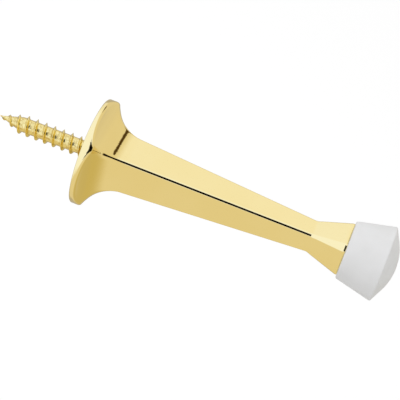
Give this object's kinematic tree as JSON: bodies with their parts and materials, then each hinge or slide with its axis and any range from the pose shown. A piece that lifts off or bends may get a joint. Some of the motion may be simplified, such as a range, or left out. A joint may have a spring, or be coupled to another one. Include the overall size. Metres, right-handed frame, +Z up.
{
  "type": "rigid door stop",
  "caption": "Rigid door stop: a cast body with a round flange and a square tapering stem, a wood screw at its back and a rubber bumper at its front.",
  "frame": {"origin": "centre of the flange's back face, where the screw's axis meets the wall", "axes": "+X out from the wall along the stem to the bumper, +Z up, two faces of the square stem level; the screw points to -X"},
  "size_m": [0.0994, 0.026, 0.0258],
  "materials": {
    "polished_brass": "polished",
    "screw_brass": "bright plated",
    "white_rubber": "matt"
  },
  "bodies": {
    "root": {"body": "polished_brass", "wood_screw": "screw_brass", "bumper": "white_rubber"}
  },
  "joints": []
}
